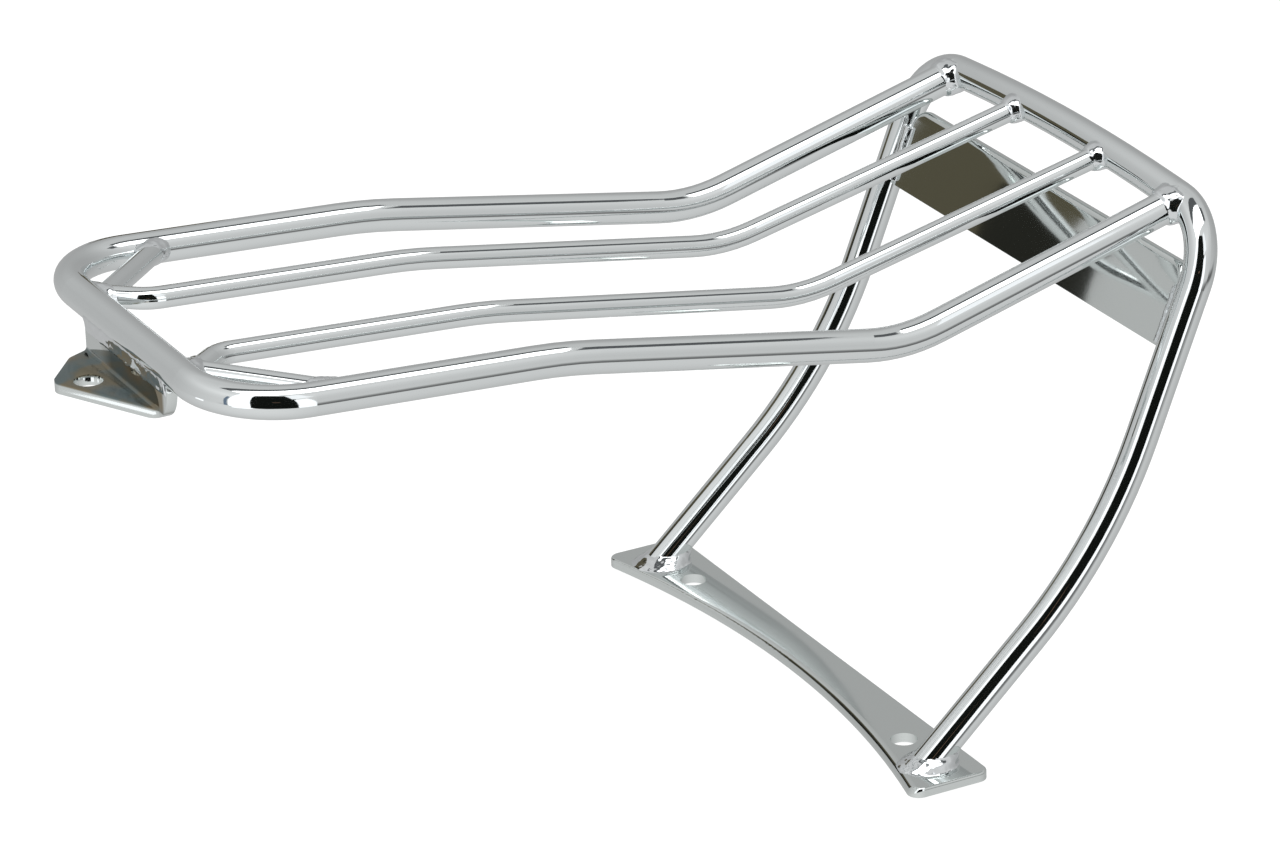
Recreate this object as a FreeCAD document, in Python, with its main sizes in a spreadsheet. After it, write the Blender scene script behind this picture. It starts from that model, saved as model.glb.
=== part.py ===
import FreeCAD, Part

import math
import os

import Sketcher
from FreeCAD import Placement, Rotation, Vector

# Welded luggage rack for a short rear fender.
# A round bar bent to a U makes the deck, two thinner rods run down its middle, a second
# bar bent to a hoop carries its rear end, and two plates and a bracket stiffen and hold it.
# +X is the rack's left side, +Y points to the rear and +Z up. The origin lies midway
# between the two fender bolts, on the underside of the foot plate.

doc = FreeCAD.newDocument("luggage_rack")
sizes = doc.addObject("Spreadsheet::Sheet", "sizes")

DRIVING_SIZES = [
    ("bar_diameter", 12.0, "round bar of the deck loop and the hoop"),
    ("rod_diameter", 8.0, "inner rods and corner braces"),
    ("deck_spacing", 154.6, "between the centres of the two side rails"),
    ("deck_front_y", -256.8, "centre of the front crossbar"),
    ("deck_front_z", 190.7, "centre of the front crossbar"),
    ("deck_corner_radius", 30.5, "front corners, at the bar's centre"),
    ("front_bend_y", -131.0, "first bend of the side rails"),
    ("front_bend_z", 182.1, "first bend of the side rails"),
    ("front_bend_radius", 200.0, "first bend of the side rails"),
    ("rear_bend_y", 2.6, "second bend of the side rails"),
    ("rear_bend_z", 157.3, "second bend of the side rails"),
    ("rear_bend_radius", 66.0, "second bend of the side rails"),
    ("rod_spacing", 57.4, "between the centres of the two inner rods"),
    ("rod_rear_lift", 1.6, "inner rods above the rails' centres, at their second bend"),
    ("rod_front_lift", 0.7, "inner rods above the rails' centres, further forward"),
    ("rod_front_bend_y", -137.1, "first bend of the inner rods"),
    ("rod_rear_bend_y", -11.0, "second bend of the inner rods"),
    ("rod_flare_y", -238.0, "where the inner rods start to turn outwards"),
    ("rod_flare_radius", 14.0, "turn of the inner rods near the front crossbar"),
    ("rod_end_spacing", 88.0, "between the inner rods' front ends"),
    ("corner_brace_front_spacing", 65.0, "between the corner braces' front ends"),
    ("corner_brace_rear_y", -212.0, "corner braces' rear ends, on the side rails"),
    ("hoop_y", 118.3, "hoop's crossbar, at its corners"),
    ("hoop_z", 186.4, "hoop's crossbar, at its corners"),
    ("hoop_crown", 6.8, "apex of the crossbar's two straight runs above its corners"),
    ("hoop_straight_run", 7.5, "between each corner and the long bend of the hoop's crossbar"),
    ("hoop_corner_radius", 25.5, "hoop's corners, at the bar's centre"),
    ("leg_spacing", 200.7, "between the centres of the two legs"),
    ("leg_bend_y", 71.4, "bend of the legs"),
    ("leg_bend_z", 70.8, "bend of the legs"),
    ("leg_bend_radius", 185.0, "bend of the legs"),
    ("leg_foot_y", -2.8, "legs' centres on the foot plate"),
    ("foot_overhang", 16.4, "foot plate, beyond the legs' centres"),
    ("foot_rear_y", 14.2, "straight rear edge of the foot plate"),
    ("foot_front_y", -19.0, "front corners of the foot plate"),
    ("foot_waist_y", -3.2, "hollow front edge of the foot plate, at its middle"),
    ("foot_thickness", 3.6, "foot plate"),
    ("foot_corner_radius", 4.5, "corners of the foot plate, in plan"),
    ("foot_edge_radius", 0.9, "rounding of the foot plate's upper edges"),
    ("foot_waist_rounding", 3.0, "rounding of the hollow edge, at its middle"),
    ("foot_bolt_spacing", 158.75, "between the two fender bolts"),
    ("foot_bolt_hole", 10.0, "holes for the fender bolts"),
    ("brace_height", 31.5, "brace plate, along the legs"),
    ("brace_top_drop", 16.9, "from the hoop's corner level to the brace plate's top edge"),
    ("brace_thickness", 3.5, "brace plate"),
    ("brace_corner_radius", 8.0, "upper corners of the brace plate"),
    ("brace_edge_rounding", 2.4, "rounding of the brace plate's upper front edge"),
    ("bracket_thickness", 4.0, "folded front bracket"),
    ("bracket_left_x", 39.0, "left end of the bracket's upright"),
    ("bracket_right_x", -30.0, "right end of the bracket's upright and tongue"),
    ("tongue_left_x", 31.5, "left end of the bracket's tongue, on its fold"),
    ("tongue_shoulder_x", -26.5, "right shoulder of the tongue"),
    ("tongue_shoulder_reach", 8.0, "right shoulder of the tongue, ahead of the fold"),
    ("tongue_shoulder_radius", 5.0, "rounding of the tongue's right shoulder"),
    ("bracket_drop", 18.7, "from the front crossbar's centre to the bracket's underside"),
    ("bracket_set_forward", 5.0, "bracket's front face, ahead of the front crossbar's centre"),
    ("bracket_reach", 21.5, "from the bracket's front face to its tip"),
    ("bracket_tip_x", -10.0, "tip of the bracket"),
    ("bracket_tip_radius", 5.0, "rounding of the bracket's tip"),
    ("bracket_end_rounding", 12.5, "lower left end of the bracket"),
    ("bracket_fold_radius", 1.2, "inside of the bracket's fold"),
    ("bracket_hole", 10.4, "bolt hole in the bracket's tongue"),
    ("bracket_hole_x", -4.5, "bolt hole in the bracket's tongue"),
    ("bracket_hole_reach", 10.3, "from the bracket's front face to its bolt hole"),
    ("weld_leg", 2.4, "weld beads round the ends of rods and rails, along the bar they end on"),
    ("foot_weld_leg", 4.4, "weld beads round the legs' feet"),
    ("seam_radius", 1.8, "weld seams along the brace plate's ends"),
    ("seam_depth", 0.36, "centres of the seams, behind the faces that they join"),
    ("bracket_weld_hollow", 20.0, "radius of the hollow weld from the crossbar to the bracket"),
    ("bracket_weld_edge", 0.35, "thickness of the bracket's weld along its upper and lower edge"),
    ("weld_end_inset", 0.6, "bracket's weld, short of the bracket's ends"),
]


def fill_sheet():
    """Writes each driving size into its own row, with its name as the cell's alias."""
    for row, (alias, number, meaning) in enumerate(DRIVING_SIZES, start=1):
        sizes.set("A%d" % row, alias)
        sizes.set("B%d" % row, str(number))
        sizes.set("C%d" % row, meaning)
        sizes.setAlias("B%d" % row, alias)
    doc.recompute()


fill_sheet()


def size(alias):
    """The present value of one driving size."""
    return float(getattr(sizes, alias))


# Each coordinate of an outline is a sum of terms, and a term is a factor times one size.

def value_of(terms):
    return sum(factor * size(alias) for factor, alias in terms)


def formula_of(terms):
    return " + ".join("(%r) * sizes.%s" % (factor, alias) for factor, alias in terms)


# Bent bars

def bent_path(points, radii):
    """Straight runs between the points, joined by tangent arcs of the given radii."""
    edges = []
    start = points[0]
    for before, corner, after, radius in zip(points, points[1:], points[2:], radii):
        into = (corner - before).normalize()
        out = (after - corner).normalize()
        turn = into.getAngle(out)
        tangent_length = radius * math.tan(turn / 2)
        arc_start = corner - into * tangent_length
        arc_end = corner + out * tangent_length
        to_centre = (out - into).normalize()
        arc_middle = corner + to_centre * (radius / math.cos(turn / 2) - radius)
        edges.append(Part.LineSegment(start, arc_start).toShape())
        edges.append(Part.Arc(arc_start, arc_middle, arc_end).toShape())
        start = arc_end
    edges.append(Part.LineSegment(start, points[-1]).toShape())
    return Part.Wire(edges)


def bent_bar(name, points, radii, diameter):
    """A round bar swept along a bent path, as a bar bender leaves it."""
    path = doc.addObject("Part::Feature", name + "_path")
    path.Shape = bent_path(points, radii)
    section = doc.addObject("Part::Circle", name + "_section")
    section.setExpression("Radius", "sizes.%s / 2" % diameter)
    along = points[1] - points[0]
    section.Placement = Placement(points[0], Rotation(Vector(0, 0, 1), along))
    bar = doc.addObject("Part::Sweep", name)
    bar.Sections = [section]
    bar.Spine = (path, ["Edge%d" % (i + 1) for i in range(len(path.Shape.Edges))])
    bar.Solid = True
    return bar


def straight_bar(name, start, end, diameter):
    """A straight round rod between two points."""
    bar = doc.addObject("Part::Cylinder", name)
    bar.setExpression("Radius", "sizes.%s / 2" % diameter)
    bar.Height = (end - start).Length
    bar.Placement = Placement(start, Rotation(Vector(0, 0, 1), end - start))
    return bar


def cut(label, base, *tools):
    """The base with every tool cut away, as bars are coped to fit each other."""
    for number, tool in enumerate(tools):
        step = doc.addObject("Part::Cut", "%s_cut_%d" % (label, number))
        step.Base = base
        step.Tool = tool
        base = step
    base.Label = label
    return base


def mirrored_points(points):
    """The same points on the rack's other side, in reverse order."""
    return [Vector(-p.x, p.y, p.z) for p in reversed(points)]


# Places that several pieces share

half_deck = size("deck_spacing") / 2
half_leg = size("leg_spacing") / 2
bar_radius = size("bar_diameter") / 2
rod_radius = size("rod_diameter") / 2
across_rack = Vector(1, 0, 0)
hoop_corner_z = size("hoop_z")
hoop_apex_z = size("hoop_z") + size("hoop_crown")
foot_top_z = size("foot_thickness")


def rail_height(y):
    """Height of a side rail's centre line at y, without its bend radii."""
    ys = [size("deck_front_y"), size("front_bend_y"), size("rear_bend_y"), size("hoop_y")]
    zs = [size("deck_front_z"), size("front_bend_z"), size("rear_bend_z"), hoop_corner_z]
    for k in range(3):
        if y <= ys[k + 1] or k == 2:
            return zs[k] + (zs[k + 1] - zs[k]) * (y - ys[k]) / (ys[k + 1] - ys[k])


def leg_y(z):
    """Place along Y of a leg's upper straight run at the height z."""
    run = (size("hoop_y") - size("leg_bend_y")) / (hoop_corner_z - size("leg_bend_z"))
    return size("hoop_y") - run * (hoop_corner_z - z)


# Foot plate

def origin_plane(body, role):
    for feature in body.Origin.OriginFeatures:
        if feature.Role == role:
            return feature


def sketch_on(body, role, name, lift=0.0):
    """A sketch on one of the body's own origin planes, lifted along the plane's normal."""
    sketch = body.newObject("Sketcher::SketchObject", name)
    sketch.AttachmentSupport = [(origin_plane(body, role), "")]
    sketch.MapMode = "FlatFace"
    sketch.AttachmentOffset = Placement(Vector(0, 0, lift), Rotation())
    return sketch


def place_vertex(sketch, line, end, x_terms, y_terms):
    """Ties one end of a sketch line to sizes, measured from the sketch's origin.

    A coordinate without terms is zero, which puts the point on the sketch's other axis.
    """
    for kind, terms, axis in (("DistanceX", x_terms, -2), ("DistanceY", y_terms, -1)):
        if not terms:
            sketch.addConstraint(Sketcher.Constraint("PointOnObject", line, end, axis))
            continue
        number = sketch.addConstraint(
            Sketcher.Constraint(kind, -1, 1, line, end, value_of(terms)))
        sketch.setExpression("Constraints[%d]" % number, formula_of(terms))


def closed_outline(sketch, corners):
    """Straight edges from corner to corner, each corner tied to sizes."""
    points = [Vector(value_of(x), value_of(y), 0) for x, y in corners]
    lines = [sketch.addGeometry(Part.LineSegment(a, b), False)
             for a, b in zip(points, points[1:] + points[:1])]
    for line, following in zip(lines, lines[1:] + lines[:1]):
        sketch.addConstraint(Sketcher.Constraint("Coincident", line, 2, following, 1))
    for line, (x_terms, y_terms) in zip(lines, corners):
        place_vertex(sketch, line, 1, x_terms, y_terms)
    return lines


def add_circle(sketch, x_terms, y_terms, diameter):
    """A circle for a hole, with its centre and diameter tied to sizes."""
    centre = Vector(value_of(x_terms), value_of(y_terms), 0)
    circle = sketch.addGeometry(
        Part.Circle(centre, Vector(0, 0, 1), size(diameter) / 2), False)
    place_vertex(sketch, circle, 3, x_terms, y_terms)
    number = sketch.addConstraint(Sketcher.Constraint("Diameter", circle, size(diameter)))
    sketch.setExpression("Constraints[%d]" % number, "sizes.%s" % diameter)


def pad(body, sketch, name, length, symmetric=False, reverse=False):
    feature = body.newObject("PartDesign::Pad", name)
    feature.Profile = sketch
    feature.setExpression("Length", length)
    feature.Midplane = symmetric
    feature.Reversed = reverse
    return feature


def pocket(body, sketch, name, depth):
    """A pocket that has to take material away."""
    doc.recompute()
    before = body.Shape.Volume
    feature = body.newObject("PartDesign::Pocket", name)
    feature.Profile = sketch
    feature.setExpression("Length", depth)
    feature.Midplane = True
    doc.recompute()
    if body.Shape.Volume >= before:
        raise RuntimeError(name + " removed nothing")
    return feature


def round_edges(body, name, radius, chosen):
    """A fillet on the edges of the body's tip for which chosen(edge) is true."""
    doc.recompute()
    tip = body.Tip
    names = ["Edge%d" % (i + 1) for i, edge in enumerate(tip.Shape.Edges) if chosen(edge)]
    if not names:
        raise RuntimeError(name + " found no edges")
    fillet = body.newObject("PartDesign::Fillet", name)
    fillet.Base = (tip, names)
    fillet.setExpression("Radius", "sizes." + radius)
    doc.recompute()
    return fillet


def is_upright(edge):
    low, high = edge.BoundBox.ZMin, edge.BoundBox.ZMax
    flat = edge.BoundBox.XLength + edge.BoundBox.YLength
    return high - low > 1 and flat < 1e-6


def hollow_arc(corner, middle):
    """Half of the hollow front edge: from a front corner to the edge's deepest point."""
    rise = middle.y - corner.y
    radius = (corner.x ** 2 + rise ** 2) / (2 * rise)
    half_way = math.asin(corner.x / radius) / 2
    centre = Vector(0, middle.y - radius, 0)
    between = centre + Vector(math.sin(half_way), math.cos(half_way), 0) * radius
    return Part.Arc(corner, between, middle)


def end_near(sketch, arc, point):
    """Which end of a sketch arc lies at the point: 1 for its start, 2 for its end."""
    return 1 if sketch.getPoint(arc, 1).distanceToPoint(point) < 1e-6 else 2


def make_foot_plate():
    """A flat plate with a straight rear edge and a hollow front edge, and two bolt holes."""
    body = doc.addObject("PartDesign::Body", "foot_plate_body")
    outline = sketch_on(body, "XY_Plane", "foot_outline")
    half = half_leg + size("foot_overhang")
    rear, front, waist = size("foot_rear_y"), size("foot_front_y"), size("foot_waist_y")
    corners = [Vector(half, front, 0), Vector(half, rear, 0),
               Vector(-half, rear, 0), Vector(-half, front, 0)]
    for first, second in zip(corners, corners[1:]):
        outline.addGeometry(Part.LineSegment(first, second), False)
    places = ((0, 1, 1, "foot_front_y"), (1, 1, 1, "foot_rear_y"),
              (2, 1, -1, "foot_rear_y"), (2, 2, -1, "foot_front_y"))
    for line, line_end, side, y_name in places:
        end_x = [(0.5 * side, "leg_spacing"), (side, "foot_overhang")]
        place_vertex(outline, line, line_end, end_x, [(1, y_name)])
    for first, second in ((0, 1), (1, 2)):
        outline.addConstraint(Sketcher.Constraint("Coincident", first, 2, second, 1))
    middle = Vector(0, waist, 0)
    arcs = [outline.addGeometry(hollow_arc(corner, middle), False)
            for corner in (corners[0], corners[3])]
    for arc, corner, line, line_end in ((arcs[0], corners[0], 0, 1), (arcs[1], corners[3], 2, 2)):
        outline.addConstraint(Sketcher.Constraint(
            "Coincident", line, line_end, arc, end_near(outline, arc, corner)))
    inner_ends = [end_near(outline, arc, middle) for arc in arcs]
    outline.addConstraint(Sketcher.Constraint(
        "Tangent", arcs[0], inner_ends[0], arcs[1], inner_ends[1]))
    outline.addConstraint(Sketcher.Constraint("Equal", arcs[0], arcs[1]))
    place_vertex(outline, arcs[0], inner_ends[0], [], [(1, "foot_waist_y")])
    pad(body, outline, "foot_pad", "sizes.foot_thickness")
    round_edges(body, "foot_corners", "foot_corner_radius", is_upright)
    holes = sketch_on(body, "XY_Plane", "foot_holes")
    for side in (0.5, -0.5):
        add_circle(holes, [(side, "foot_bolt_spacing")], [], "foot_bolt_hole")
    pocket(body, holes, "foot_bolt_holes", "4 * sizes.foot_thickness")
    return body


def round_foot_plate(body):
    """Rounds the plate's upper outline, most of all at the middle of its hollow edge."""
    doc.recompute()
    plate = doc.addObject("Part::Fillet", "foot_plate_rounded")
    plate.Base = body
    small, large = size("foot_edge_radius"), size("foot_waist_rounding")
    middle = Vector(0, size("foot_waist_y"), foot_top_z)
    rounded = []
    for number, edge in enumerate(body.Shape.Edges, start=1):
        box = edge.BoundBox
        on_top = abs(box.ZMin - foot_top_z) < 1e-6 and abs(box.ZMax - foot_top_z) < 1e-6
        if on_top and not edge.isClosed():
            ends = [edge.valueAt(edge.FirstParameter), edge.valueAt(edge.LastParameter)]
            radii = [large if end.distanceToPoint(middle) < 1e-3 else small for end in ends]
            rounded.append((number, radii[0], radii[1]))
    plate.Edges = rounded
    return plate


foot_plate = round_foot_plate(make_foot_plate())
foot_plate.Label = "foot_plate"

# Rear hoop: crossbar, two corners and two legs from one bar

leg_end = Vector(half_leg, size("leg_foot_y"), foot_top_z)
leg_bend = Vector(half_leg, size("leg_bend_y"), size("leg_bend_z"))
hoop_corner = Vector(half_leg, size("hoop_y"), hoop_corner_z)
hoop_apex = Vector(0, size("hoop_y"), hoop_apex_z)
leg_run = (leg_end - leg_bend).normalize()
leg_stop = leg_end + leg_run * size("foot_thickness")

left_side = [leg_stop, leg_bend, hoop_corner]
hoop_points = left_side + [hoop_apex] + mirrored_points(left_side)


def crown_radius():
    """Radius of the crossbar's long bend, which fills the bar between its straight runs."""
    corner_turn = (hoop_corner - leg_bend).getAngle(hoop_apex - hoop_corner)
    corner_length = size("hoop_corner_radius") * math.tan(corner_turn / 2)
    half_bend = (hoop_apex - hoop_corner).Length - corner_length - size("hoop_straight_run")
    return half_bend * half_leg / size("hoop_crown")


hoop_radii = [size("leg_bend_radius"), size("hoop_corner_radius"), crown_radius(),
              size("hoop_corner_radius"), size("leg_bend_radius")]
hoop_bar = bent_bar("hoop_bar", hoop_points, hoop_radii, "bar_diameter")

reach = 2 * size("leg_spacing")
foot_level = doc.addObject("Part::Box", "foot_level")
foot_level.Length = foot_level.Width = foot_level.Height = reach
foot_level.Placement = Placement(
    Vector(-reach / 2, -reach / 2, foot_top_z - reach), Rotation())
rear_hoop = cut("rear_hoop", hoop_bar, foot_level)

hoop_line = bent_path(hoop_points, hoop_radii)


def hoop_place(x):
    """The point at x on the hoop's centre line, above the bends of its legs."""
    low, high = size("leg_bend_z"), hoop_apex_z + bar_radius
    y_far = size("hoop_y") + reach
    window = Part.Face(Part.makePolygon([
        Vector(x, -y_far, low), Vector(x, y_far, low),
        Vector(x, y_far, high), Vector(x, -y_far, high), Vector(x, -y_far, low)]))
    distance, pairs, details = hoop_line.distToShape(window)
    return pairs[0][0]


# Deck loop: front crossbar, two corners and two side rails from one bar

left_rail = [hoop_place(half_deck),
             Vector(half_deck, size("rear_bend_y"), size("rear_bend_z")),
             Vector(half_deck, size("front_bend_y"), size("front_bend_z")),
             Vector(half_deck, size("deck_front_y"), size("deck_front_z"))]
rail_radii = [size("rear_bend_radius"), size("front_bend_radius"), size("deck_corner_radius")]
deck_bar = bent_bar("deck_bar", left_rail + mirrored_points(left_rail),
                    rail_radii + rail_radii[::-1], "bar_diameter")
deck_loop = cut("deck_loop", deck_bar, rear_hoop)

# Inner rods

sides = (("left", 1), ("right", -1))


def inner_rod_points(side):
    """From the hoop along the side rails' profile, then outwards to the front crossbar."""
    x = side * size("rod_spacing") / 2
    bends = (("rod_rear_bend_y", "rod_rear_lift"), ("rod_front_bend_y", "rod_front_lift"),
             ("rod_flare_y", "rod_front_lift"))
    points = [hoop_place(x)]
    points += [Vector(x, size(y), rail_height(size(y)) + size(lift)) for y, lift in bends]
    points.append(Vector(side * size("rod_end_spacing") / 2, size("deck_front_y"),
                         size("deck_front_z")))
    return points


def make_inner_rod(name, side):
    radii = [size("rear_bend_radius"), size("front_bend_radius"), size("rod_flare_radius")]
    bar = bent_bar("inner_rod_bar_" + name, inner_rod_points(side), radii, "rod_diameter")
    return cut("inner_rod_" + name, bar, rear_hoop, deck_loop)


inner_rods = {name: make_inner_rod(name, side) for name, side in sides}


# Corner braces

def corner_brace_ends(side):
    front = Vector(side * size("corner_brace_front_spacing") / 2, size("deck_front_y"),
                   size("deck_front_z"))
    rear = Vector(side * half_deck, size("corner_brace_rear_y"),
                  rail_height(size("corner_brace_rear_y")))
    return front, rear


def make_corner_brace(name, side):
    """A short rod across the deck's front corner."""
    front, rear = corner_brace_ends(side)
    bar = straight_bar("corner_brace_bar_" + name, front, rear, "rod_diameter")
    return cut("corner_brace_" + name, bar, deck_loop, inner_rods[name])


corner_braces = {name: make_corner_brace(name, side) for name, side in sides}


# Brace plate

def make_brace_plate():
    """A plate between the legs, in their plane, with its upper corners rounded."""
    body = doc.addObject("PartDesign::Body", "brace_plate_body")
    outline = sketch_on(body, "XZ_Plane", "brace_outline")
    half = [(0.5, "leg_spacing"), (-0.465, "bar_diameter")]
    other_half = [(-factor, alias) for factor, alias in half]
    closed_outline(outline, [
        (other_half, [(-1, "brace_height")]),
        (half, [(-1, "brace_height")]),
        (half, []),
        (other_half, []),
    ])
    pad(body, outline, "brace_pad", "sizes.brace_thickness", symmetric=True)

    def at_upper_end(edge):
        box = edge.BoundBox
        across = box.XLength + box.ZLength
        return across < 1e-6 and box.ZMax > -size("brace_height") / 2

    round_edges(body, "brace_corners", "brace_corner_radius", at_upper_end)

    def on_upper_front(edge):
        box = edge.BoundBox
        on_front = abs(box.YMax + size("brace_thickness") / 2) < 1e-6
        return on_front and box.ZMax > -1e-3 and box.XLength > box.ZLength

    round_edges(body, "brace_upper_edge", "brace_edge_rounding", on_upper_front)
    top_z = hoop_corner_z - size("brace_top_drop")
    lean = math.degrees(math.atan2(leg_y(top_z) - leg_y(top_z - 1), 1))
    body.Placement = Placement(Vector(0, leg_y(top_z), top_z),
                               Rotation(Vector(1, 0, 0), -lean))
    return body


brace_body = make_brace_plate()
brace_plate = cut("brace_plate", brace_body, rear_hoop)


# Front bracket

def make_bracket():
    """Folded sheet: an upright under the front crossbar and a tongue with a bolt hole."""
    body = doc.addObject("PartDesign::Body", "front_bracket_body")
    face = [(-1, "bracket_set_forward")]
    back = [(-1, "bracket_set_forward"), (1, "bracket_thickness")]
    tongue = sketch_on(body, "XY_Plane", "tongue_outline")
    closed_outline(tongue, [
        ([(1, "bracket_right_x")], back),
        ([(1, "bracket_right_x")], face),
        ([(1, "tongue_shoulder_x")], face + [(-1, "tongue_shoulder_reach")]),
        ([(1, "bracket_tip_x")], face + [(-1, "bracket_reach")]),
        ([(1, "tongue_left_x")], face),
        ([(1, "tongue_left_x")], back),
    ])
    pad(body, tongue, "tongue_pad", "sizes.bracket_thickness")

    def tongue_tip(edge):
        return is_upright(edge) and edge.BoundBox.YMax < -size("bracket_reach")

    def shoulder(edge):
        return is_upright(edge) and abs(edge.BoundBox.XMin - size("tongue_shoulder_x")) < 1e-6

    round_edges(body, "tongue_tip", "bracket_tip_radius", tongue_tip)
    round_edges(body, "tongue_side", "tongue_shoulder_radius", shoulder)
    upright = sketch_on(body, "XZ_Plane", "upright_outline")
    closed_outline(upright, [
        ([(1, "bracket_right_x")], []),
        ([(1, "bracket_left_x")], []),
        ([(1, "bracket_left_x")], [(1, "bracket_drop")]),
        ([(1, "bracket_right_x")], [(1, "bracket_drop")]),
    ])
    upright.setExpression("AttachmentOffset.Base.z", "sizes.bracket_set_forward")
    pad(body, upright, "upright_pad", "sizes.bracket_thickness", reverse=True)

    def lower_left_end(edge):
        box = edge.BoundBox
        along_y = box.XLength + box.ZLength < 1e-6
        return along_y and box.ZMax < 1e-6 and abs(box.XMin - size("bracket_left_x")) < 1e-6

    round_edges(body, "bracket_end", "bracket_end_rounding", lower_left_end)

    def inside_fold(edge):
        box = edge.BoundBox
        along_x = box.YLength + box.ZLength < 1e-6
        at_face = abs(box.YMin + size("bracket_set_forward")) < 1e-6
        return along_x and at_face and abs(box.ZMin - size("bracket_thickness")) < 1e-6

    round_edges(body, "inside_fold", "bracket_fold_radius", inside_fold)
    hole = sketch_on(body, "XY_Plane", "bracket_hole_centre")
    add_circle(hole, [(1, "bracket_hole_x")], face + [(-1, "bracket_hole_reach")],
               "bracket_hole")
    pocket(body, hole, "bracket_bolt_hole", "3 * sizes.bracket_thickness")
    body.Placement = Placement(
        Vector(0, size("deck_front_y"), size("deck_front_z") - size("bracket_drop")),
        Rotation())
    return body


front_bracket = cut("front_bracket", make_bracket(), deck_loop)

# Weld beads

metal = doc.addObject("Part::Compound", "bars_and_plates")
metal.Links = [deck_loop, rear_hoop, brace_plate, front_bracket, foot_plate]
metal.Links += list(inner_rods.values()) + list(corner_braces.values())


# The far ring of a weld stands just clear of the rod's skin, along and across its seat.
SKIN_CLEARANCE = (0.15, 0.1)


def skirt(name, joint, rod_run, along, radius, distances, spread):
    """A ring of weld metal round the end of a rod, widening towards its seat.

    joint is where the rod's centre line crosses the seat's, along the seat's direction.
    The ring runs between two ellipses whose planes lie parallel to the seat, at the two
    distances from the joint. The first is wider than the rod's skin by the spread along
    and across the seat, the second only clears the skin.
    """
    run = Vector(rod_run).normalize()
    along = Vector(along).normalize()
    out = (run - along * run.dot(along)).normalize()
    stretch = 1 / run.dot(out)
    turn = Rotation(along, out.cross(along), out, "ZXY")
    rings = []
    for number, distance in enumerate(distances):
        margins = spread if number == 0 else SKIN_CLEARANCE
        ring = doc.addObject("Part::Ellipse", "%s_ring_%d" % (name, number))
        ring.MajorRadius = radius * stretch + margins[0]
        ring.MinorRadius = radius + margins[1]
        ring.Placement = Placement(joint + run * (distance * stretch), turn)
        rings.append(ring)
    loft = doc.addObject("Part::Loft", name + "_loft")
    loft.Sections = rings
    loft.Solid = True
    loft.Ruled = True
    return loft


def seam(name, start, end):
    """A straight bead of weld metal in the corner between a plate and a bar."""
    bead = doc.addObject("Part::Cylinder", name + "_bead")
    bead.setExpression("Radius", "sizes.seam_radius")
    bead.Height = (end - start).Length
    bead.Placement = Placement(start, Rotation(Vector(0, 0, 1), end - start))
    return bead


# A ring on a bar starts inside the bar and thins out along the rod that it holds.
leg = size("weld_leg")
rod_distances = (0.5 * bar_radius, bar_radius + 0.9 * leg)
rod_spread = (1.25 * leg, 0.3 * leg)
rail_spread = (1.25 * leg, 0.12 * leg)

# A ring on the foot plate starts just below the plate's face.
foot_leg = size("foot_weld_leg")
foot_distances = (-0.2, 0.8 * foot_leg)
foot_spread = (0.45 * foot_leg, 0.95 * foot_leg)


def make_rail_weld(name, side):
    """Round the rear end of a side rail, on the hoop."""
    joint = hoop_place(side * half_deck)
    run = Vector(joint.x, size("rear_bend_y"), size("rear_bend_z")) - joint
    ring = skirt("rail_weld_" + name, joint, run, across_rack, bar_radius,
                 rod_distances, rail_spread)
    return cut("rail_weld_" + name, ring, metal)


def make_rod_rear_weld(name, side):
    """Round the rear end of an inner rod, on the hoop."""
    points = inner_rod_points(side)
    ring = skirt("rod_rear_weld_" + name, points[0], points[1] - points[0], across_rack,
                 rod_radius, rod_distances, rod_spread)
    return cut("rod_rear_weld_" + name, ring, metal)


def make_rod_front_weld(name, side):
    """Round the front end of an inner rod, on the crossbar and against the corner brace."""
    points = inner_rod_points(side)
    ring = skirt("rod_front_weld_" + name, points[-1], points[-2] - points[-1], across_rack,
                 rod_radius, rod_distances, rod_spread)
    return cut("rod_front_weld_" + name, ring, metal)


def make_brace_side_weld(name, side):
    """Round the rear end of a corner brace, on the side rail."""
    front, rear = corner_brace_ends(side)
    rail_run = Vector(0, size("front_bend_y") - size("deck_front_y"),
                      size("front_bend_z") - size("deck_front_z"))
    ring = skirt("brace_side_weld_" + name, rear, front - rear, rail_run, rod_radius,
                 rod_distances, rod_spread)
    return cut("brace_side_weld_" + name, ring, metal)


def make_foot_weld(name, side):
    """Round the foot of a leg, on the foot plate."""
    joint = Vector(side * half_leg, leg_end.y, foot_top_z)
    run = Vector(0, -leg_run.y, -leg_run.z)
    ring = skirt("foot_weld_" + name, joint, run, Vector(0, 1, 0), bar_radius,
                 foot_distances, foot_spread)
    return cut("foot_weld_" + name, ring, metal)


def make_plate_weld(name, side):
    """Along one end of the brace plate, between its front face and the leg."""
    inwards = side * (half_leg - bar_radius - size("seam_depth"))
    forward = -size("brace_thickness") / 2 - size("seam_depth")
    lower, upper = -size("brace_height") + 1, -size("brace_corner_radius") - 0.4
    ends = [brace_body.Placement.multVec(Vector(inwards, forward, z)) for z in (lower, upper)]
    return cut("plate_weld_" + name, seam("plate_weld_" + name, ends[0], ends[1]), metal)


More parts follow.
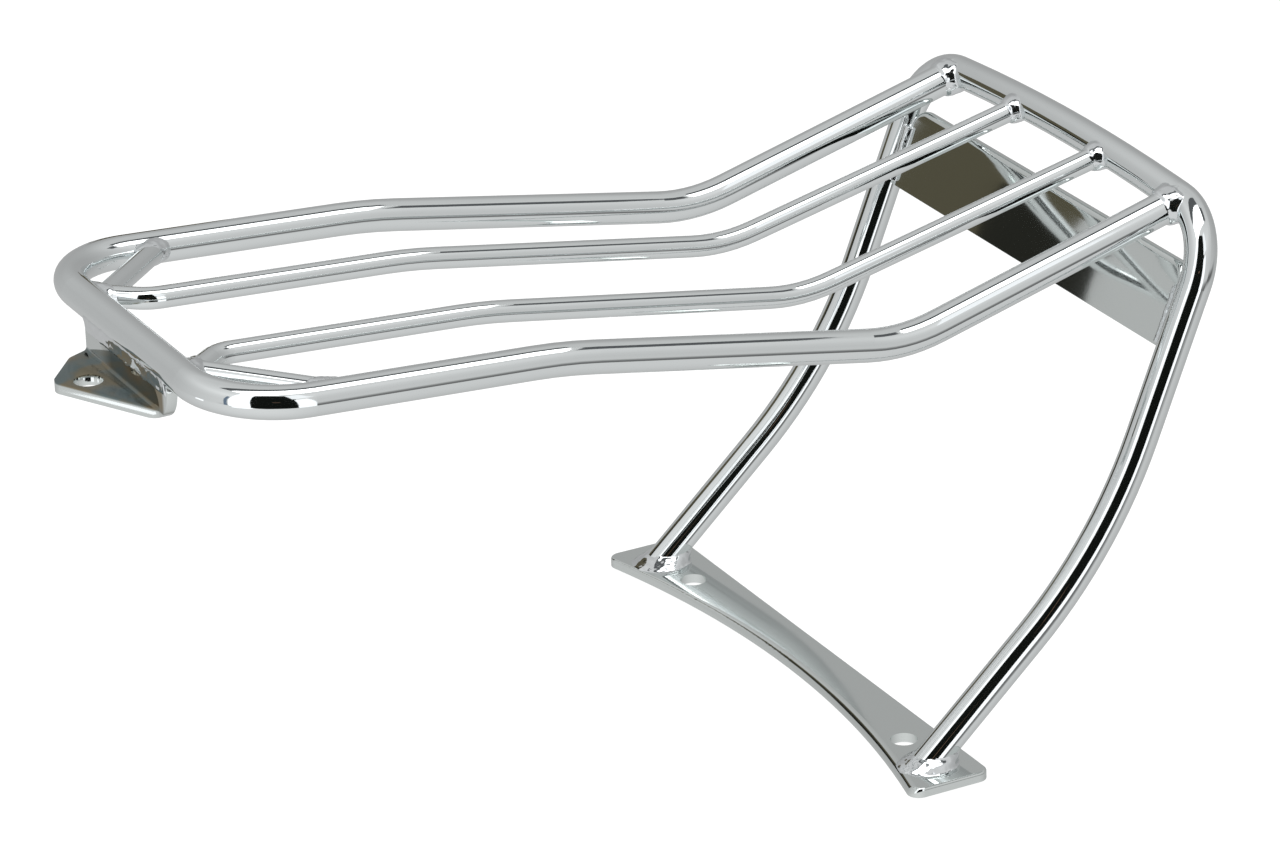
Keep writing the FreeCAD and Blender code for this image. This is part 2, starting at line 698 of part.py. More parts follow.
def make_bracket_weld():
    """A hollow weld from the front of the crossbar down onto the bracket's upright."""
    ahead, hollow = size("bracket_set_forward"), size("bracket_weld_hollow")
    edge = size("bracket_weld_edge")
    drop = math.sqrt((bar_radius + hollow) ** 2 - (ahead + hollow) ** 2)
    top_drop = drop * bar_radius / (bar_radius + hollow)
    right, left = (size("bracket_right_x") + size("weld_end_inset"),
                   size("bracket_left_x") - size("weld_end_inset"))
    filler = doc.addObject("Part::Box", "bracket_weld_filler")
    filler.Length = left - right
    filler.Width = bar_radius + edge
    filler.Height = drop - top_drop
    filler.Placement = Placement(
        Vector(right, size("deck_front_y") - filler.Width.Value, size("deck_front_z") - drop),
        Rotation())
    groove = doc.addObject("Part::Cylinder", "bracket_weld_groove")
    groove.setExpression("Radius", "sizes.bracket_weld_hollow")
    groove.Height = size("leg_spacing")
    groove.Placement = Placement(
        Vector(-half_leg, size("deck_front_y") - ahead - hollow - edge,
               size("deck_front_z") - drop),
        Rotation(Vector(0, 0, 1), across_rack))
    behind = doc.addObject("Part::Box", "behind_bracket_face")
    behind.Length = size("leg_spacing")
    behind.Width = behind.Height = 2 * size("bar_diameter")
    behind.Placement = Placement(
        Vector(-half_leg, size("deck_front_y") - ahead,
               size("deck_front_z") - size("bar_diameter")), Rotation())
    return cut("bracket_weld", filler, groove, behind, metal)


welds = []
for make in (make_rail_weld, make_rod_rear_weld, make_rod_front_weld,
             make_brace_side_weld, make_foot_weld, make_plate_weld):
    welds += [make(name, side) for name, side in sides]
welds.append(make_bracket_weld())

doc.recompute()

pieces = [foot_plate, rear_hoop, deck_loop, brace_plate, front_bracket]
pieces += list(inner_rods.values()) + list(corner_braces.values()) + welds

for item in doc.Objects:
    if "Invalid" in item.State or "Error" in item.State:
        raise RuntimeError("%s failed: %s" % (item.Label, item.State))

os.makedirs("parts", exist_ok=True)
for piece in pieces:
    shape = piece.Shape
    if shape.isNull() or not shape.isValid():
        raise RuntimeError(piece.Label + " has no valid shape")
    shape.exportStep("parts/%s.step" % piece.Label)
    print("%-22s %d solid(s) %9.1f mm3" % (piece.Label, len(shape.Solids), shape.Volume))
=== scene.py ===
# %% [markdown]
# A chrome luggage rack for a short rear fender
#
# The real rack is bent from round bar, welded together and then plated all over. Plating
# leaves one thin mirror skin over bars, plates and weld beads alike, so nearly all of what
# the eye sees is the room around the rack, wrapped round its shapes.
#
# This lesson therefore has three parts. The first loads the finished solids and gives them
# their plating. The second makes the weld beads again with the lumps and dents that a welder
# leaves, and softens two of the plates. The third builds the room: a pale floor, a soft
# panel overhead and the dark opening that the camera looks through.

# %% The solids
import math

import bpy
from mathutils import Matrix, Vector


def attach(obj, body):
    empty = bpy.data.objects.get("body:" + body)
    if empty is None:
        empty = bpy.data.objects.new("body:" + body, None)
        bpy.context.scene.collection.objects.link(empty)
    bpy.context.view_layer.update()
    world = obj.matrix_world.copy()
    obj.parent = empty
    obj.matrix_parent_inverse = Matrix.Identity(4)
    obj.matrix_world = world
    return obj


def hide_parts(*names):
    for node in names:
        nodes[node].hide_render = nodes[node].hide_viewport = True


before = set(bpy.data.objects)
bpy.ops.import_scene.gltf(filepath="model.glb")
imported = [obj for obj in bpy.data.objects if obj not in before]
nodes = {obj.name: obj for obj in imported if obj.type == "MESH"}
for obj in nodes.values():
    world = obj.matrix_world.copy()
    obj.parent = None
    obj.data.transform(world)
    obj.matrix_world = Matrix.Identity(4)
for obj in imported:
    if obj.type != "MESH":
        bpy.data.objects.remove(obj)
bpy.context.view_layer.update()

# %% [markdown]
# Names of the places
#
# Everything is in metres. +X is the rack's left side, +Y points to the rear and +Z up, and
# the foot plate's underside lies on the floor. A few kinds of piece share a finish, so the
# nodes are sorted into bars, plates and welds by their names.

# %% Sorting the pieces
welds = sorted(name for name in nodes if "weld" in name)
plates = ["foot_plate", "brace_plate", "front_bracket"]
bars = sorted(name for name in nodes if name not in welds and name not in plates)
print("bars:", len(bars), "plates:", len(plates), "welds:", len(welds))

# %% [markdown]
# The plating's small faults
#
# A polished bar is never quite a mirror. The steel under the plating keeps a faint
# waviness from bending and buffing, the buffing wheel leaves hair-fine lines, and dust and
# fingers dull it here and there. Every finish needs these faults in its own strength, so
# they are one node group: it gives a roughness value and a bump height, and each material
# says how much of each it takes.

# %% A node group for plating
HAIR_STRETCH = (2600.0, 160.0, 1400.0)
SMEAR_SCALE, SMEAR_DETAIL = 46.0, 4.0
WAVE_SCALE, WAVE_DETAIL = 70.0, 1.5


def make_plating_group():
    group = bpy.data.node_groups.new("plating_faults", "ShaderNodeTree")
    face = group.interface
    for name, low, high, start in (("Base Roughness", 0.0, 1.0, 0.05),
                                   ("Dulling", 0.0, 1.0, 0.05),
                                   ("Waviness", 0.0, 2.0, 0.3),
                                   ("Buffing Lines", 0.0, 2.0, 0.1)):
        socket = face.new_socket(name=name, in_out="INPUT", socket_type="NodeSocketFloat")
        socket.min_value, socket.max_value, socket.default_value = low, high, start
    face.new_socket(name="Roughness", in_out="OUTPUT", socket_type="NodeSocketFloat")
    face.new_socket(name="Height", in_out="OUTPUT", socket_type="NodeSocketFloat")
    add, link = group.nodes.new, group.links.new
    given, result = add("NodeGroupInput"), add("NodeGroupOutput")
    place = add("ShaderNodeTexCoord")

    def noise(scale, detail):
        texture = add("ShaderNodeTexNoise")
        texture.inputs["Scale"].default_value = scale
        texture.inputs["Detail"].default_value = detail
        link(place.outputs["Object"], texture.inputs["Vector"])
        return texture.outputs["Fac"]

    def combine(kind, first, second):
        node = add("ShaderNodeMath")
        node.operation = kind
        for socket, value in zip(node.inputs, (first, second)):
            if isinstance(value, float):
                socket.default_value = value
            else:
                link(value, socket)
        return node.outputs["Value"]

    stretch = add("ShaderNodeMapping")
    stretch.inputs["Scale"].default_value = HAIR_STRETCH
    link(place.outputs["Object"], stretch.inputs["Vector"])
    hairs = add("ShaderNodeTexNoise")
    hairs.inputs["Scale"].default_value = 1.0
    hairs.inputs["Detail"].default_value = 3.0
    link(stretch.outputs["Vector"], hairs.inputs["Vector"])

    smears = combine("POWER", noise(SMEAR_SCALE, SMEAR_DETAIL), 2.0)
    dulled = combine("MULTIPLY", smears, given.outputs["Dulling"])
    rough = combine("ADD", given.outputs["Base Roughness"], dulled)
    waves = combine("MULTIPLY", noise(WAVE_SCALE, WAVE_DETAIL), given.outputs["Waviness"])
    lines = combine("MULTIPLY", hairs.outputs["Fac"], given.outputs["Buffing Lines"])
    link(rough, result.inputs["Roughness"])
    link(combine("ADD", waves, lines), result.inputs["Height"])
    return group


plating_group = make_plating_group()
print("plating group inputs:", [item.name for item in plating_group.interface.items_tree])

# %% [markdown]
# Three finishes from one plating
#
# The bars are drawn smooth, so they mirror most sharply. The plates are sawn and ground
# before plating, take a slightly darker tint and mirror a little less sharply. The weld
# beads are never ground, so they stay the roughest and the most wavy. One function makes
# all the finishes: it sets the tint on the shader and hands the strengths of the faults
# to the node group.

# %% The chrome materials
BAR_TINT = (0.762, 0.792, 0.794, 1.0)
PLATE_TINT = (0.695, 0.73, 0.72, 1.0)
WELD_TINT = (0.725, 0.75, 0.76, 1.0)


def make_chrome(name, tint, base, dulling, waviness, lines, bump_strength, bump_distance):
    material = bpy.data.materials.new(name)
    material.use_nodes = True
    tree = material.node_tree
    shader = tree.nodes["Principled BSDF"]
    shader.inputs["Base Color"].default_value = tint
    shader.inputs["Metallic"].default_value = 1.0
    plating = tree.nodes.new("ShaderNodeGroup")
    plating.node_tree = plating_group
    for socket, value in (("Base Roughness", base), ("Dulling", dulling),
                          ("Waviness", waviness), ("Buffing Lines", lines)):
        plating.inputs[socket].default_value = value
    bump = tree.nodes.new("ShaderNodeBump")
    bump.inputs["Strength"].default_value = bump_strength
    bump.inputs["Distance"].default_value = bump_distance
    tree.links.new(plating.outputs["Roughness"], shader.inputs["Roughness"])
    tree.links.new(plating.outputs["Height"], bump.inputs["Height"])
    tree.links.new(bump.outputs["Normal"], shader.inputs["Normal"])
    return material


bar_chrome = make_chrome("bar_chrome", BAR_TINT, base=0.035, dulling=0.05, waviness=0.3,
                         lines=0.02, bump_strength=0.06, bump_distance=0.0006)
plate_chrome = make_chrome("plate_chrome", PLATE_TINT, base=0.045, dulling=0.06, waviness=0.3,
                           lines=0.02, bump_strength=0.05, bump_distance=0.0008)
weld_chrome = make_chrome("weld_chrome", WELD_TINT, base=0.06, dulling=0.10, waviness=0.8,
                          lines=0.05, bump_strength=0.12, bump_distance=0.0006)

for name, node in nodes.items():
    finish = weld_chrome if name in welds else plate_chrome if name in plates else bar_chrome
    node.data.materials.clear()
    node.data.materials.append(finish)
print("finishes:", [m.name for m in (bar_chrome, plate_chrome, weld_chrome)])

# %% [markdown]
# Weld beads
#
# A welder runs a bead round the end of each rod. The molten steel wets both bars and leaves
# a hollow, slightly lumpy corner, and the plating makes it glitter. A bead could be drawn as
# a ring, but rings meet badly where three bars come together. Here the metal of the joint
# itself is copied and cut out with a ball, fused into one skin by a voxel remesh and then
# smoothed. Smoothing sinks the skin a hair below the bars and lets it rise in the corners,
# so only the bead shows. A cloud texture dents it, always inwards, so that it never breaks
# through the bars, and a last smoothing takes the harshness out of the dents.

# %% A skin over a joint
VOXEL = 0.00036
DENT_DEPTH = 0.00045
LAST_SMOOTHING = 5
MERGE_DISTANCE = 0.000002

dents = bpy.data.textures.new("weld_dents", "CLOUDS")
dents.noise_scale = 0.0028
dents.noise_depth = 1


def copy_node(name):
    """A merged copy of a node's mesh, selected and active."""
    source = nodes[name]
    bpy.ops.object.select_all(action="DESELECT")
    copy = source.copy()
    copy.data = source.data.copy()
    bpy.context.collection.objects.link(copy)
    copy.select_set(True)
    bpy.context.view_layer.objects.active = copy
    bpy.ops.object.mode_set(mode="EDIT")
    bpy.ops.mesh.select_all(action="SELECT")
    bpy.ops.mesh.remove_doubles(threshold=MERGE_DISTANCE)
    bpy.ops.object.mode_set(mode="OBJECT")
    return copy


def apply_modifier(piece, kind, **values):
    modifier = piece.modifiers.new(kind.lower(), kind)
    for key, value in values.items():
        setattr(modifier, key, value)
    bpy.context.view_layer.objects.active = piece
    bpy.ops.object.modifier_apply(modifier=modifier.name)


def joint_skin(name, metals, tool, smoothing, swelling):
    """One fused and softened skin of the metals inside a cutting tool."""
    chunks = []
    for metal in metals:
        chunk = copy_node(metal)
        if "weld" in metal:
            apply_modifier(chunk, "DISPLACE", strength=swelling, mid_level=0.0)
        apply_modifier(chunk, "BOOLEAN", operation="INTERSECT", object=tool, solver="EXACT")
        chunks.append(chunk)
    bpy.ops.object.select_all(action="DESELECT")
    for chunk in chunks:
        chunk.select_set(True)
    skin = chunks[0]
    bpy.context.view_layer.objects.active = skin
    bpy.ops.object.join()
    apply_modifier(skin, "REMESH", mode="VOXEL", voxel_size=VOXEL)
    apply_modifier(skin, "SMOOTH", factor=0.5, iterations=smoothing)
    apply_modifier(skin, "DISPLACE", texture=dents, texture_coords="GLOBAL",
                   strength=DENT_DEPTH, mid_level=1.0)
    apply_modifier(skin, "SMOOTH", factor=0.5, iterations=LAST_SMOOTHING)
    bpy.ops.object.shade_smooth()
    skin.name = name
    skin.data.name = name
    skin.data.materials.clear()
    skin.data.materials.append(weld_chrome)
    bpy.data.objects.remove(tool, do_unlink=True)
    return skin


def cutting_ball(place, radius):
    bpy.ops.object.select_all(action="DESELECT")
    bpy.ops.mesh.primitive_ico_sphere_add(subdivisions=4, radius=radius, location=place)
    return bpy.context.object


def cutting_box(place, spans, lean=0.0):
    bpy.ops.object.select_all(action="DESELECT")
    bpy.ops.mesh.primitive_cube_add(size=1.0, location=place, rotation=(lean, 0.0, 0.0))
    box = bpy.context.object
    box.scale = spans
    return box


# %% [markdown]
# Where the welds are
#
# Each weld of the rack is named after what it holds: the side rails and the inner rods on
# the hoop, the rods and the corner braces at the front, the legs on the foot plate, the
# brace plate between the legs, and the bracket under the front crossbar. Both sides are
# made from the same numbers, mirrored. The rod's front bead also takes in the end of the
# corner brace. Each row of the table gives the metals that meet, the middle of the cutting
# ball, its radius, the rounds of smoothing, and how far the plain ring is swollen first.

# %% Making the beads
JOINTS = {
    "rail_weld": (("rear_hoop", "deck_loop"),
                  (0.0773, 0.1150, 0.1875), 0.0145, 44, 0.0012),
    "rod_rear_weld": (("rear_hoop", "inner_rod"),
                      (0.0287, 0.1150, 0.1900), 0.0115, 34, 0.0011),
    "rod_front_weld": (("deck_loop", "inner_rod", "corner_brace"),
                       (0.0380, -0.2530, 0.1908), 0.0140, 34, 0.0006),
    "brace_side_weld": (("deck_loop", "corner_brace"),
                        (0.0745, -0.2140, 0.1880), 0.0115, 24, 0.0006),
    "foot_weld": (("foot_plate", "rear_hoop"),
                  (0.10035, -0.0010, 0.0060), 0.0150, 26, 0.0005),
}
PLATE_LEAN = math.radians(-22.1)
PLATE_END, PLATE_END_SPANS = Vector((0.0940, 0.1040, 0.1555)), (0.0120, 0.0150, 0.0290)
BRACKET_SEAM, BRACKET_SEAM_SPANS = (0.0045, -0.2615, 0.1865), (0.0684, 0.0090, 0.0110)
SEAM_SMOOTHING, SEAM_SWELLING = 12, 0.0004

weld_pieces = []
for kind, (metals, (x, y, z), radius, smoothing, swelling) in JOINTS.items():
    for side, sign in (("left", 1), ("right", -1)):
        weld = kind + "_" + side
        own = [m + "_" + side if m + "_" + side in nodes else m for m in metals]
        tool = cutting_ball((sign * x, y, z), radius)
        skin = joint_skin(kind + "_bead_" + side, own + [weld], tool, smoothing, swelling)
        weld_pieces.append((skin, weld))

for side, sign in (("left", 1), ("right", -1)):
    place = (sign * PLATE_END.x, PLATE_END.y, PLATE_END.z)
    tool = cutting_box(place, PLATE_END_SPANS, PLATE_LEAN)
    weld = "plate_weld_" + side
    skin = joint_skin("plate_bead_" + side, ["brace_plate", "rear_hoop", weld], tool,
                      SEAM_SMOOTHING, SEAM_SWELLING)
    weld_pieces.append((skin, weld))

tool = cutting_box(BRACKET_SEAM, BRACKET_SEAM_SPANS)
skin = joint_skin("bracket_bead", ["front_bracket", "deck_loop", "bracket_weld"], tool,
                  SEAM_SMOOTHING, SEAM_SWELLING)
weld_pieces.append((skin, "bracket_weld"))

for skin, weld in weld_pieces:
    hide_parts(weld)
    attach(skin, "root")
print("beads:", len(weld_pieces), "triangles:",
      sum(2 * len(skin.data.polygons) for skin, _ in weld_pieces))

# %% [markdown]
# The bracket's painted shade and highlights
#
# The faces of the bracket under the front crossbar carry painted shade and painted dull
# reflections in patches of blue-grey and brown, while its sawn edges and its free ends keep
# the plain plate tint and so stand out as painted highlights. The tint is mixed by place:
# height picks out the tongue, its edges and the upright, the sideways place picks out the
# two ends, and a noise shares the painted patches between the two dark tints.

# %% The bracket's material
# Two tints of painted shade and dull reflection for the bracket's faces; the edges and ends
# keep the plate tint as painted highlights.
PAINTED_SHADE_TINTS = ((0.17, 0.215, 0.215), (0.25, 0.215, 0.145))
TONGUE_TOP = 0.176
LIGHT_UP_TO, DARK_FROM = -0.017, -0.008
LEFT_END = (0.0345, 0.0365)
PATCH_SCALE = 70.0
PATCH_SHARE = (0.42, 0.56)

bracket_chrome = make_chrome("bracket_chrome", PLATE_TINT, base=0.06, dulling=0.08,
                             waviness=0.5, lines=0.03, bump_strength=0.08,
                             bump_distance=0.0008)
tree = bracket_chrome.node_tree
shader = next(n for n in tree.nodes if n.type == "BSDF_PRINCIPLED")
where = tree.nodes.new("ShaderNodeTexCoord")
axes = tree.nodes.new("ShaderNodeSeparateXYZ")
tree.links.new(where.outputs["Object"], axes.inputs["Vector"])
cloud = tree.nodes.new("ShaderNodeTexNoise")
cloud.inputs["Scale"].default_value = PATCH_SCALE
tree.links.new(where.outputs["Object"], cloud.inputs["Vector"])


def mask(value, zero_at, one_at):
    """0 to 1 between two values of a coordinate."""
    ramp = tree.nodes.new("ShaderNodeMapRange")
    ramp.inputs["From Min"].default_value = zero_at
    ramp.inputs["From Max"].default_value = one_at
    tree.links.new(value, ramp.inputs["Value"])
    return ramp.outputs["Result"]


def combine_masks(kind, first, second):
    node = tree.nodes.new("ShaderNodeMath")
    node.operation = kind
    tree.links.new(first, node.inputs[0])
    tree.links.new(second, node.inputs[1])
    return node.outputs["Value"]


def mix_colours(factor, first, second):
    """A mix of two colours; each may be a constant or another mix."""
    node = tree.nodes.new("ShaderNodeMix")
    node.data_type = "RGBA"
    tree.links.new(factor, node.inputs[0])
    for socket, colour in zip(node.inputs[6:8], (first, second)):
        if isinstance(colour, tuple):
            socket.default_value = (*colour[:3], 1.0)
        else:
            tree.links.new(colour, socket)
    return node.outputs[2]


upright = mask(axes.outputs["Z"], TONGUE_TOP + 0.0004, TONGUE_TOP + 0.0014)
light_end = combine_masks("MULTIPLY", upright, mask(axes.outputs["X"], DARK_FROM, LIGHT_UP_TO))
sawn_edge = mask(axes.outputs["Z"], TONGUE_TOP - 0.0003, TONGUE_TOP - 0.0009)
edges = combine_masks("MAXIMUM", sawn_edge, mask(axes.outputs["X"], *LEFT_END))
# Painted shade in blue-grey and brown patches; the sawn edges and the ends stay at the plate
# tint as painted highlights.
painted_shade_patches = mix_colours(mask(cloud.outputs["Fac"], *PATCH_SHARE), *PAINTED_SHADE_TINTS)
tint = mix_colours(combine_masks("MAXIMUM", light_end, edges), painted_shade_patches, PLATE_TINT)
tree.links.new(tint, shader.inputs["Base Color"])
print("bracket material:", bracket_chrome.name, len(tree.nodes), "nodes")

# %% [markdown]
# Softened plates
#
# Polishing before plating rounds every sheared edge a little, and such an edge catches a
# bright line. The sharp edges of the bracket and the brace plate are bevelled on merged
# copies. Flat faces are first joined into single faces, so that the bevel follows only the
# real edges. The foot plate keeps its node, because its bevelled copy drew jagged lines.

# %% Bevelled copies
PLATE_EDGES = {"front_bracket": 0.0007, "brace_plate": 0.0005}
FLAT_WITHIN = math.radians(0.5)
SHARP_FROM = math.radians(40)
SMOOTH_BELOW = math.radians(30)

for name, width in PLATE_EDGES.items():
    plate = copy_node(name)
    bpy.ops.object.mode_set(mode="EDIT")
    bpy.ops.mesh.select_all(action="SELECT")
    bpy.ops.mesh.dissolve_limited(angle_limit=FLAT_WITHIN)
    bpy.ops.object.mode_set(mode="OBJECT")
    apply_modifier(plate, "BEVEL", width=width, segments=3, limit_method="ANGLE",
                   angle_limit=SHARP_FROM, harden_normals=False)
    bpy.ops.object.shade_smooth_by_angle(angle=SMOOTH_BELOW)
    if name == "front_bracket":
        plate.data.materials.clear()
        plate.data.materials.append(bracket_chrome)
    plate.name = name + "_polished"
    plate.data.name = plate.name
    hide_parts(name)
    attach(plate, "root")
    print(plate.name, len(plate.data.polygons), "faces")

# %% [markdown]
# Camera
#
# The rack is seen from its left front side and a little above, through a long lens, so the
# rails stay almost parallel. The camera's place was solved from the straight lines of the
# rack, and a small roll belongs to that place.

# %% The camera
CAMERA_PLACE = Vector((1.7801, -0.9889, 0.9932))
LOOKED_AT = Vector((0.0, -0.0623, 0.1114))
ROLL = math.radians(-1.7236)
LENS, SENSOR_WIDTH = 171.02, 36.0
FAR_END = 50.0

view = (LOOKED_AT - CAMERA_PLACE).normalized()
level_right = view.cross(Vector((0, 0, 1))).normalized()
level_up = level_right.cross(view)
right = level_right * math.cos(ROLL) + level_up * math.sin(ROLL)
up = level_up * math.cos(ROLL) - level_right * math.sin(ROLL)

bpy.ops.object.select_all(action="DESELECT")
bpy.ops.object.camera_add(location=CAMERA_PLACE)
camera = bpy.context.object
camera.name = "camera"
camera.data.lens = LENS
camera.data.sensor_width = SENSOR_WIDTH
camera.data.sensor_fit = "HORIZONTAL"
camera.data.clip_end = FAR_END
camera.matrix_world = Matrix.Translation(CAMERA_PLACE) @ Matrix(
    (right, up, -view)).transposed().to_4x4()
bpy.context.scene.camera = camera
print("camera looks along", [round(v, 3) for v in view])

# %% [markdown]
# Floor
#
# The rack stands on a plain pale sheet, lit so strongly that it prints white with hardly a
# shadow. Most of its brightness is its own glow, which keeps the sheet even up to the
# picture's edges. The bars do not mirror it: the world colour further on stands for what
# they see below them.

# %% The floor
WHITE, UNLIT = (1.0, 1.0, 1.0), (0.0, 0.0, 0.0)
FLOOR_SIZE = 14.0
FLOOR_DROP = 0.0004
SHEET_COLOUR, SHEET_GLOW = (0.30, 0.30, 0.30), 0.86


def plain(name, colour, glow_colour, glow=1.0):
    """A matt material that may also glow by itself."""
    material = bpy.data.materials.new(name)
    material.use_nodes = True
    shader = material.node_tree.nodes["Principled BSDF"]
    shader.inputs["Base Color"].default_value = (*colour, 1.0)
    shader.inputs["Roughness"].default_value = 1.0
    shader.inputs["Specular IOR Level"].default_value = 0.0
    shader.inputs["Emission Color"].default_value = (*glow_colour, 1.0)
    shader.inputs["Emission Strength"].default_value = glow
    return material


bpy.ops.object.select_all(action="DESELECT")
bpy.ops.mesh.primitive_plane_add(size=FLOOR_SIZE, location=(0, 0, -FLOOR_DROP))
floor = bpy.context.object
floor.name = "floor"
floor.data.materials.append(plain("floor_sheet", SHEET_COLOUR, WHITE, SHEET_GLOW))
floor.visible_glossy = False

# %% [markdown]
# The tent's cloth
#
# Chrome has no colour of its own: a bar squeezes the whole room into thin stripes along its
# length. Most of the room is the even grey cloth of a light tent, a little dimmer in its far
# rear corner. Where the sheet on the table ends, a dark gap is left below the cloth, and
# that gap draws the soft dark line along the lower half of the rails. The world colour
# stands for cloth, gap and sheet by the direction of the reflected ray. The camera itself
# sees only white.

# %% Cloth, gap and sheet
CLOTH_BY_HEIGHT = (
    (-90, 0.71), (-30, 0.67), (-8, 0.60), (14, 0.60), (28, 0.66), (44, 0.80),
    (60, 0.74), (90, 0.74))
GAP_BY_HEIGHT = ((-90, 0.0), (-22, 0.0), (-16.5, 1.0), (-12, 1.0), (-5, 0.0), (90, 0.0))
GAP_DEPTH = 0.74
GAP_FADES_IN = (0.1, 0.45)
DIM_CORNER = Vector((-0.75, 0.66, 0.0))
DIMMING = 0.3

world = bpy.data.worlds.new("tent")
bpy.context.scene.world = world
world.use_nodes = True
tree = world.node_tree
tree.nodes.clear()
coordinates = tree.nodes.new("ShaderNodeTexCoord")
axes = tree.nodes.new("ShaderNodeSeparateXYZ")
tree.links.new(coordinates.outputs["Generated"], axes.inputs["Vector"])


def math_node(kind, first, second):
    node = tree.nodes.new("ShaderNodeMath")
    node.operation = kind
    for socket, value in zip(node.inputs, (first, second)):
        if isinstance(value, (int, float)):
            socket.default_value = value
        else:
            tree.links.new(value, socket)
    return node.outputs["Value"]


def by_height(steps):
    """A grey that changes with the height of the ray, from (degrees, grey) steps."""
    ramp = tree.nodes.new("ShaderNodeValToRGB")
    half_up = math_node("MULTIPLY_ADD", axes.outputs["Z"], 0.5)
    half_up.node.inputs[2].default_value = 0.5
    tree.links.new(half_up, ramp.inputs["Fac"])
    for _ in steps[2:]:
        ramp.color_ramp.elements.new(0.5)
    for element, (degrees, grey) in zip(ramp.color_ramp.elements, steps):
        element.position = 0.5 + 0.5 * math.sin(math.radians(degrees))
        element.color = (grey, grey, grey, 1.0)
    return ramp.outputs["Color"]


left_side = tree.nodes.new("ShaderNodeMapRange")
left_side.inputs["From Min"].default_value = GAP_FADES_IN[0]
left_side.inputs["From Max"].default_value = GAP_FADES_IN[1]
left_side.inputs["To Max"].default_value = GAP_DEPTH
tree.links.new(axes.outputs["X"], left_side.inputs["Value"])
gap = math_node("MULTIPLY", by_height(GAP_BY_HEIGHT), left_side.outputs["Result"])
towards_corner = math_node("ADD", math_node("MULTIPLY", axes.outputs["X"], DIM_CORNER.x),
                           math_node("MULTIPLY", axes.outputs["Y"], DIM_CORNER.y))
dimmed = math_node("SUBTRACT", 1.0, math_node("MULTIPLY", towards_corner, DIMMING))
brightness = math_node("MULTIPLY", dimmed, math_node("SUBTRACT", 1.0, gap))

cloth = tree.nodes.new("ShaderNodeBackground")
tree.links.new(by_height(CLOTH_BY_HEIGHT), cloth.inputs["Color"])
tree.links.new(brightness, cloth.inputs["Strength"])
white = tree.nodes.new("ShaderNodeBackground")
white.inputs["Color"].default_value = (*WHITE, 1.0)
rays = tree.nodes.new("ShaderNodeLightPath")
mix = tree.nodes.new("ShaderNodeMixShader")
output = tree.nodes.new("ShaderNodeOutputWorld")
tree.links.new(rays.outputs["Is Camera Ray"], mix.inputs["Fac"])
tree.links.new(cloth.outputs["Background"], mix.inputs[1])
tree.links.new(white.outputs["Background"], mix.inputs[2])
tree.links.new(mix.outputs["Shader"], output.inputs["Surface"])
bpy.context.scene.view_settings.view_transform = "Standard"
print("steps in the cloth:", len(CLOTH_BY_HEIGHT), "and in the gap:", len(GAP_BY_HEIGHT))

# %% [markdown]
# Cards around the rack
#
# The tent is open towards the camera. That opening is black, and on both sides of it hangs
# a strip of lit cloth. The near corner of the deck and the legs gather the opening into
# black patches with white edges, which do more than anything else to make bars look plated.
# Each card is a plain upright sheet that shows only in reflections.

# %% Opening and strips
CENTRE = Vector((0.0, -0.06, 0.11))


def heading(azimuth):
    """A level direction, measured from the front towards the rack's left side."""
    turn = math.radians(azimuth)
    return Vector((math.sin(turn), -math.cos(turn), 0.0))


def hide_from_camera(sheet):
    sheet.visible_camera = False
    sheet.visible_shadow = False
    sheet.visible_diffuse = False


def card(name, place, azimuth, width, height, colour, glow=1.0):
    """An upright sheet at a place, square to a heading."""
    bpy.ops.object.select_all(action="DESELECT")
    bpy.ops.mesh.primitive_plane_add(size=1.0, location=place)
    sheet = bpy.context.object
    sheet.name = name
    sheet.scale = (width, height, 1.0)
    sheet.rotation_euler = (math.radians(90), 0.0, math.radians(azimuth))
    sheet.data.materials.append(plain(name, UNLIT, colour, glow))
    hide_from_camera(sheet)
    return sheet


def hang(name, azimuth, width, low, high, distance, colour, glow=1.0):
    """A card that spans a width and two elevations in degrees, seen from the centre."""
    bottom = distance * math.tan(math.radians(low))
    top = distance * math.tan(math.radians(high))
    place = CENTRE + heading(azimuth) * distance + Vector((0, 0, (top + bottom) / 2))
    across = 2 * distance * math.tan(math.radians(width / 2))
    return card(name, place, azimuth, across, top - bottom, colour, glow)


BLACK = (0.006, 0.007, 0.006)
OLIVE = (0.105, 0.094, 0.062)
SMOKE = (0.022, 0.022, 0.018)
TAN = (0.15, 0.095, 0.065)
BLUE_GREY = (0.16, 0.21, 0.28)
LIT_CLOTH = (0.97, 0.98, 1.0)

hang("opening", 64.0, 56.0, -26.0, 61.0, 2.4, BLACK)
hang("lit_strip_front", 29.7, 19.5, -21.0, 60.0, 0.97, LIT_CLOTH, 1.5)
hang("lit_strip_rear", 96.5, 15.0, -20.0, 31.0, 2.4, LIT_CLOTH, 1.4)
hang("lit_strip_rear_top", 99.0, 22.0, 36.0, 59.0, 2.4, LIT_CLOTH, 1.2)
hang("strip_seam", 17.0, 3.5, -14.0, 34.0, 2.3, BLUE_GREY)
hang("warm_streak", 68.0, 8.0, 20.5, 22.5, 2.1, TAN)

# %% [markdown]
# A dark box and a lit patch
#
# Flat faces mirror a single direction, so one small card is enough for each. Two sides of
# a dark box close to the far side fill the brace plate with olive and black. A lit patch is
# laid flat on the table and draws the bright line along the front edge of the bracket's
# tongue.

# %% Small cards for the flat faces
BOX_HEADING = -52.5
BOX_DISTANCE = 0.39
BOX_PLACE = Vector((0.0, 0.105, 0.0)) + heading(BOX_HEADING) * BOX_DISTANCE
BOX_SIDE = heading(BOX_HEADING + 90)
UP = Vector((0.0, 0.0, 1.0))

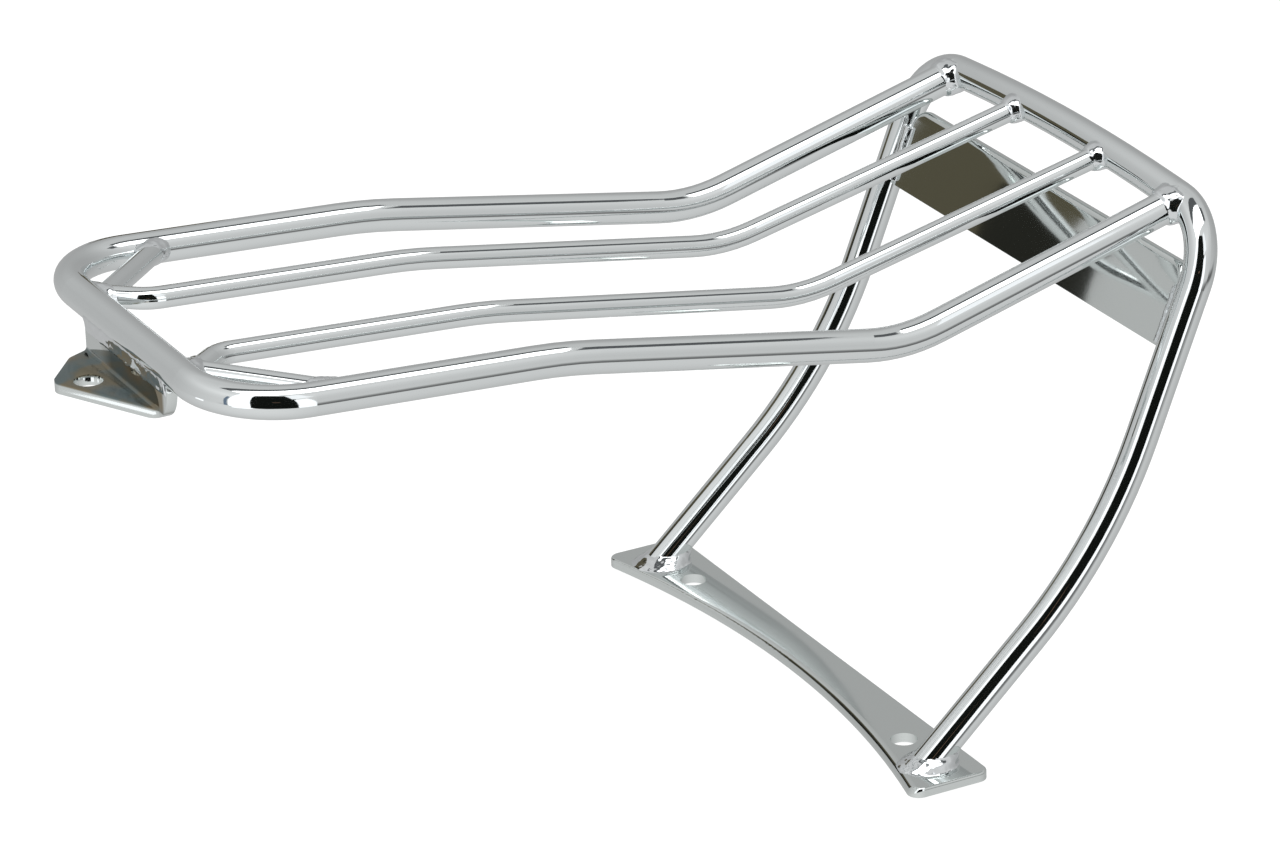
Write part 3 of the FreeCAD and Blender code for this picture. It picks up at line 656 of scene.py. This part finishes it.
black_place = BOX_PLACE + BOX_SIDE * 0.013 - heading(BOX_HEADING) * 0.004 + UP * 0.129
card("dark_box_front", black_place, BOX_HEADING, width=0.076, height=0.118, colour=SMOKE)
olive_place = BOX_PLACE - BOX_SIDE * 0.030 + UP * 0.163
card("dark_box_side", olive_place, BOX_HEADING, width=0.110, height=0.186, colour=OLIVE)

LIT_PATCH = Vector((-0.072, -0.665, 0.001))
patch = card("lit_patch", LIT_PATCH, azimuth=0.0, width=0.078, height=0.14,
             colour=LIT_CLOTH, glow=1.45)
patch.rotation_euler = (0.0, 0.0, 0.0)

# %% [markdown]
# Lamp
#
# One large soft panel hangs flat above the rack, shifted to its left side. It gives the rails
# their white band. The dark frame along its inner side and at its rear end draws the thin
# dark line beside that band and carries it on where the band ends.

# %% The overhead panel
PANEL_HEIGHT = 1.03
PANEL_X = (-0.01, 0.41)
PANEL_Y = (-0.60, 0.46)
PANEL_GLOW = 2.2
FRAME_GREY = (0.11, 0.115, 0.12)
FRAME_BARS = {
    "panel_inner_frame": ((-0.20, -0.01), (-0.60, 0.46)),
    "panel_rear_frame": ((0.04, 0.36), (0.50, 0.74)),
}


def middle_and_size(x_range, y_range):
    place = Vector((sum(x_range) / 2, sum(y_range) / 2, PANEL_HEIGHT))
    return place, x_range[1] - x_range[0], y_range[1] - y_range[0]


place, width, length = middle_and_size(PANEL_X, PANEL_Y)
bpy.ops.object.select_all(action="DESELECT")
bpy.ops.object.light_add(type="AREA", location=place)
panel = bpy.context.object
panel.name = "soft_panel"
panel.data.shape = "RECTANGLE"
panel.data.size, panel.data.size_y = width, length
panel.data.energy = PANEL_GLOW * width * length * math.pi

for name, (x_range, y_range) in FRAME_BARS.items():
    place, width, length = middle_and_size(x_range, y_range)
    bpy.ops.object.select_all(action="DESELECT")
    bpy.ops.mesh.primitive_plane_add(size=1.0, location=place)
    bar = bpy.context.object
    bar.name = name
    bar.scale = (width, length, 1.0)
    bar.data.materials.append(plain(name, UNLIT, FRAME_GREY))
    hide_from_camera(bar)
print("panel power:", round(panel.data.energy, 1), "W")
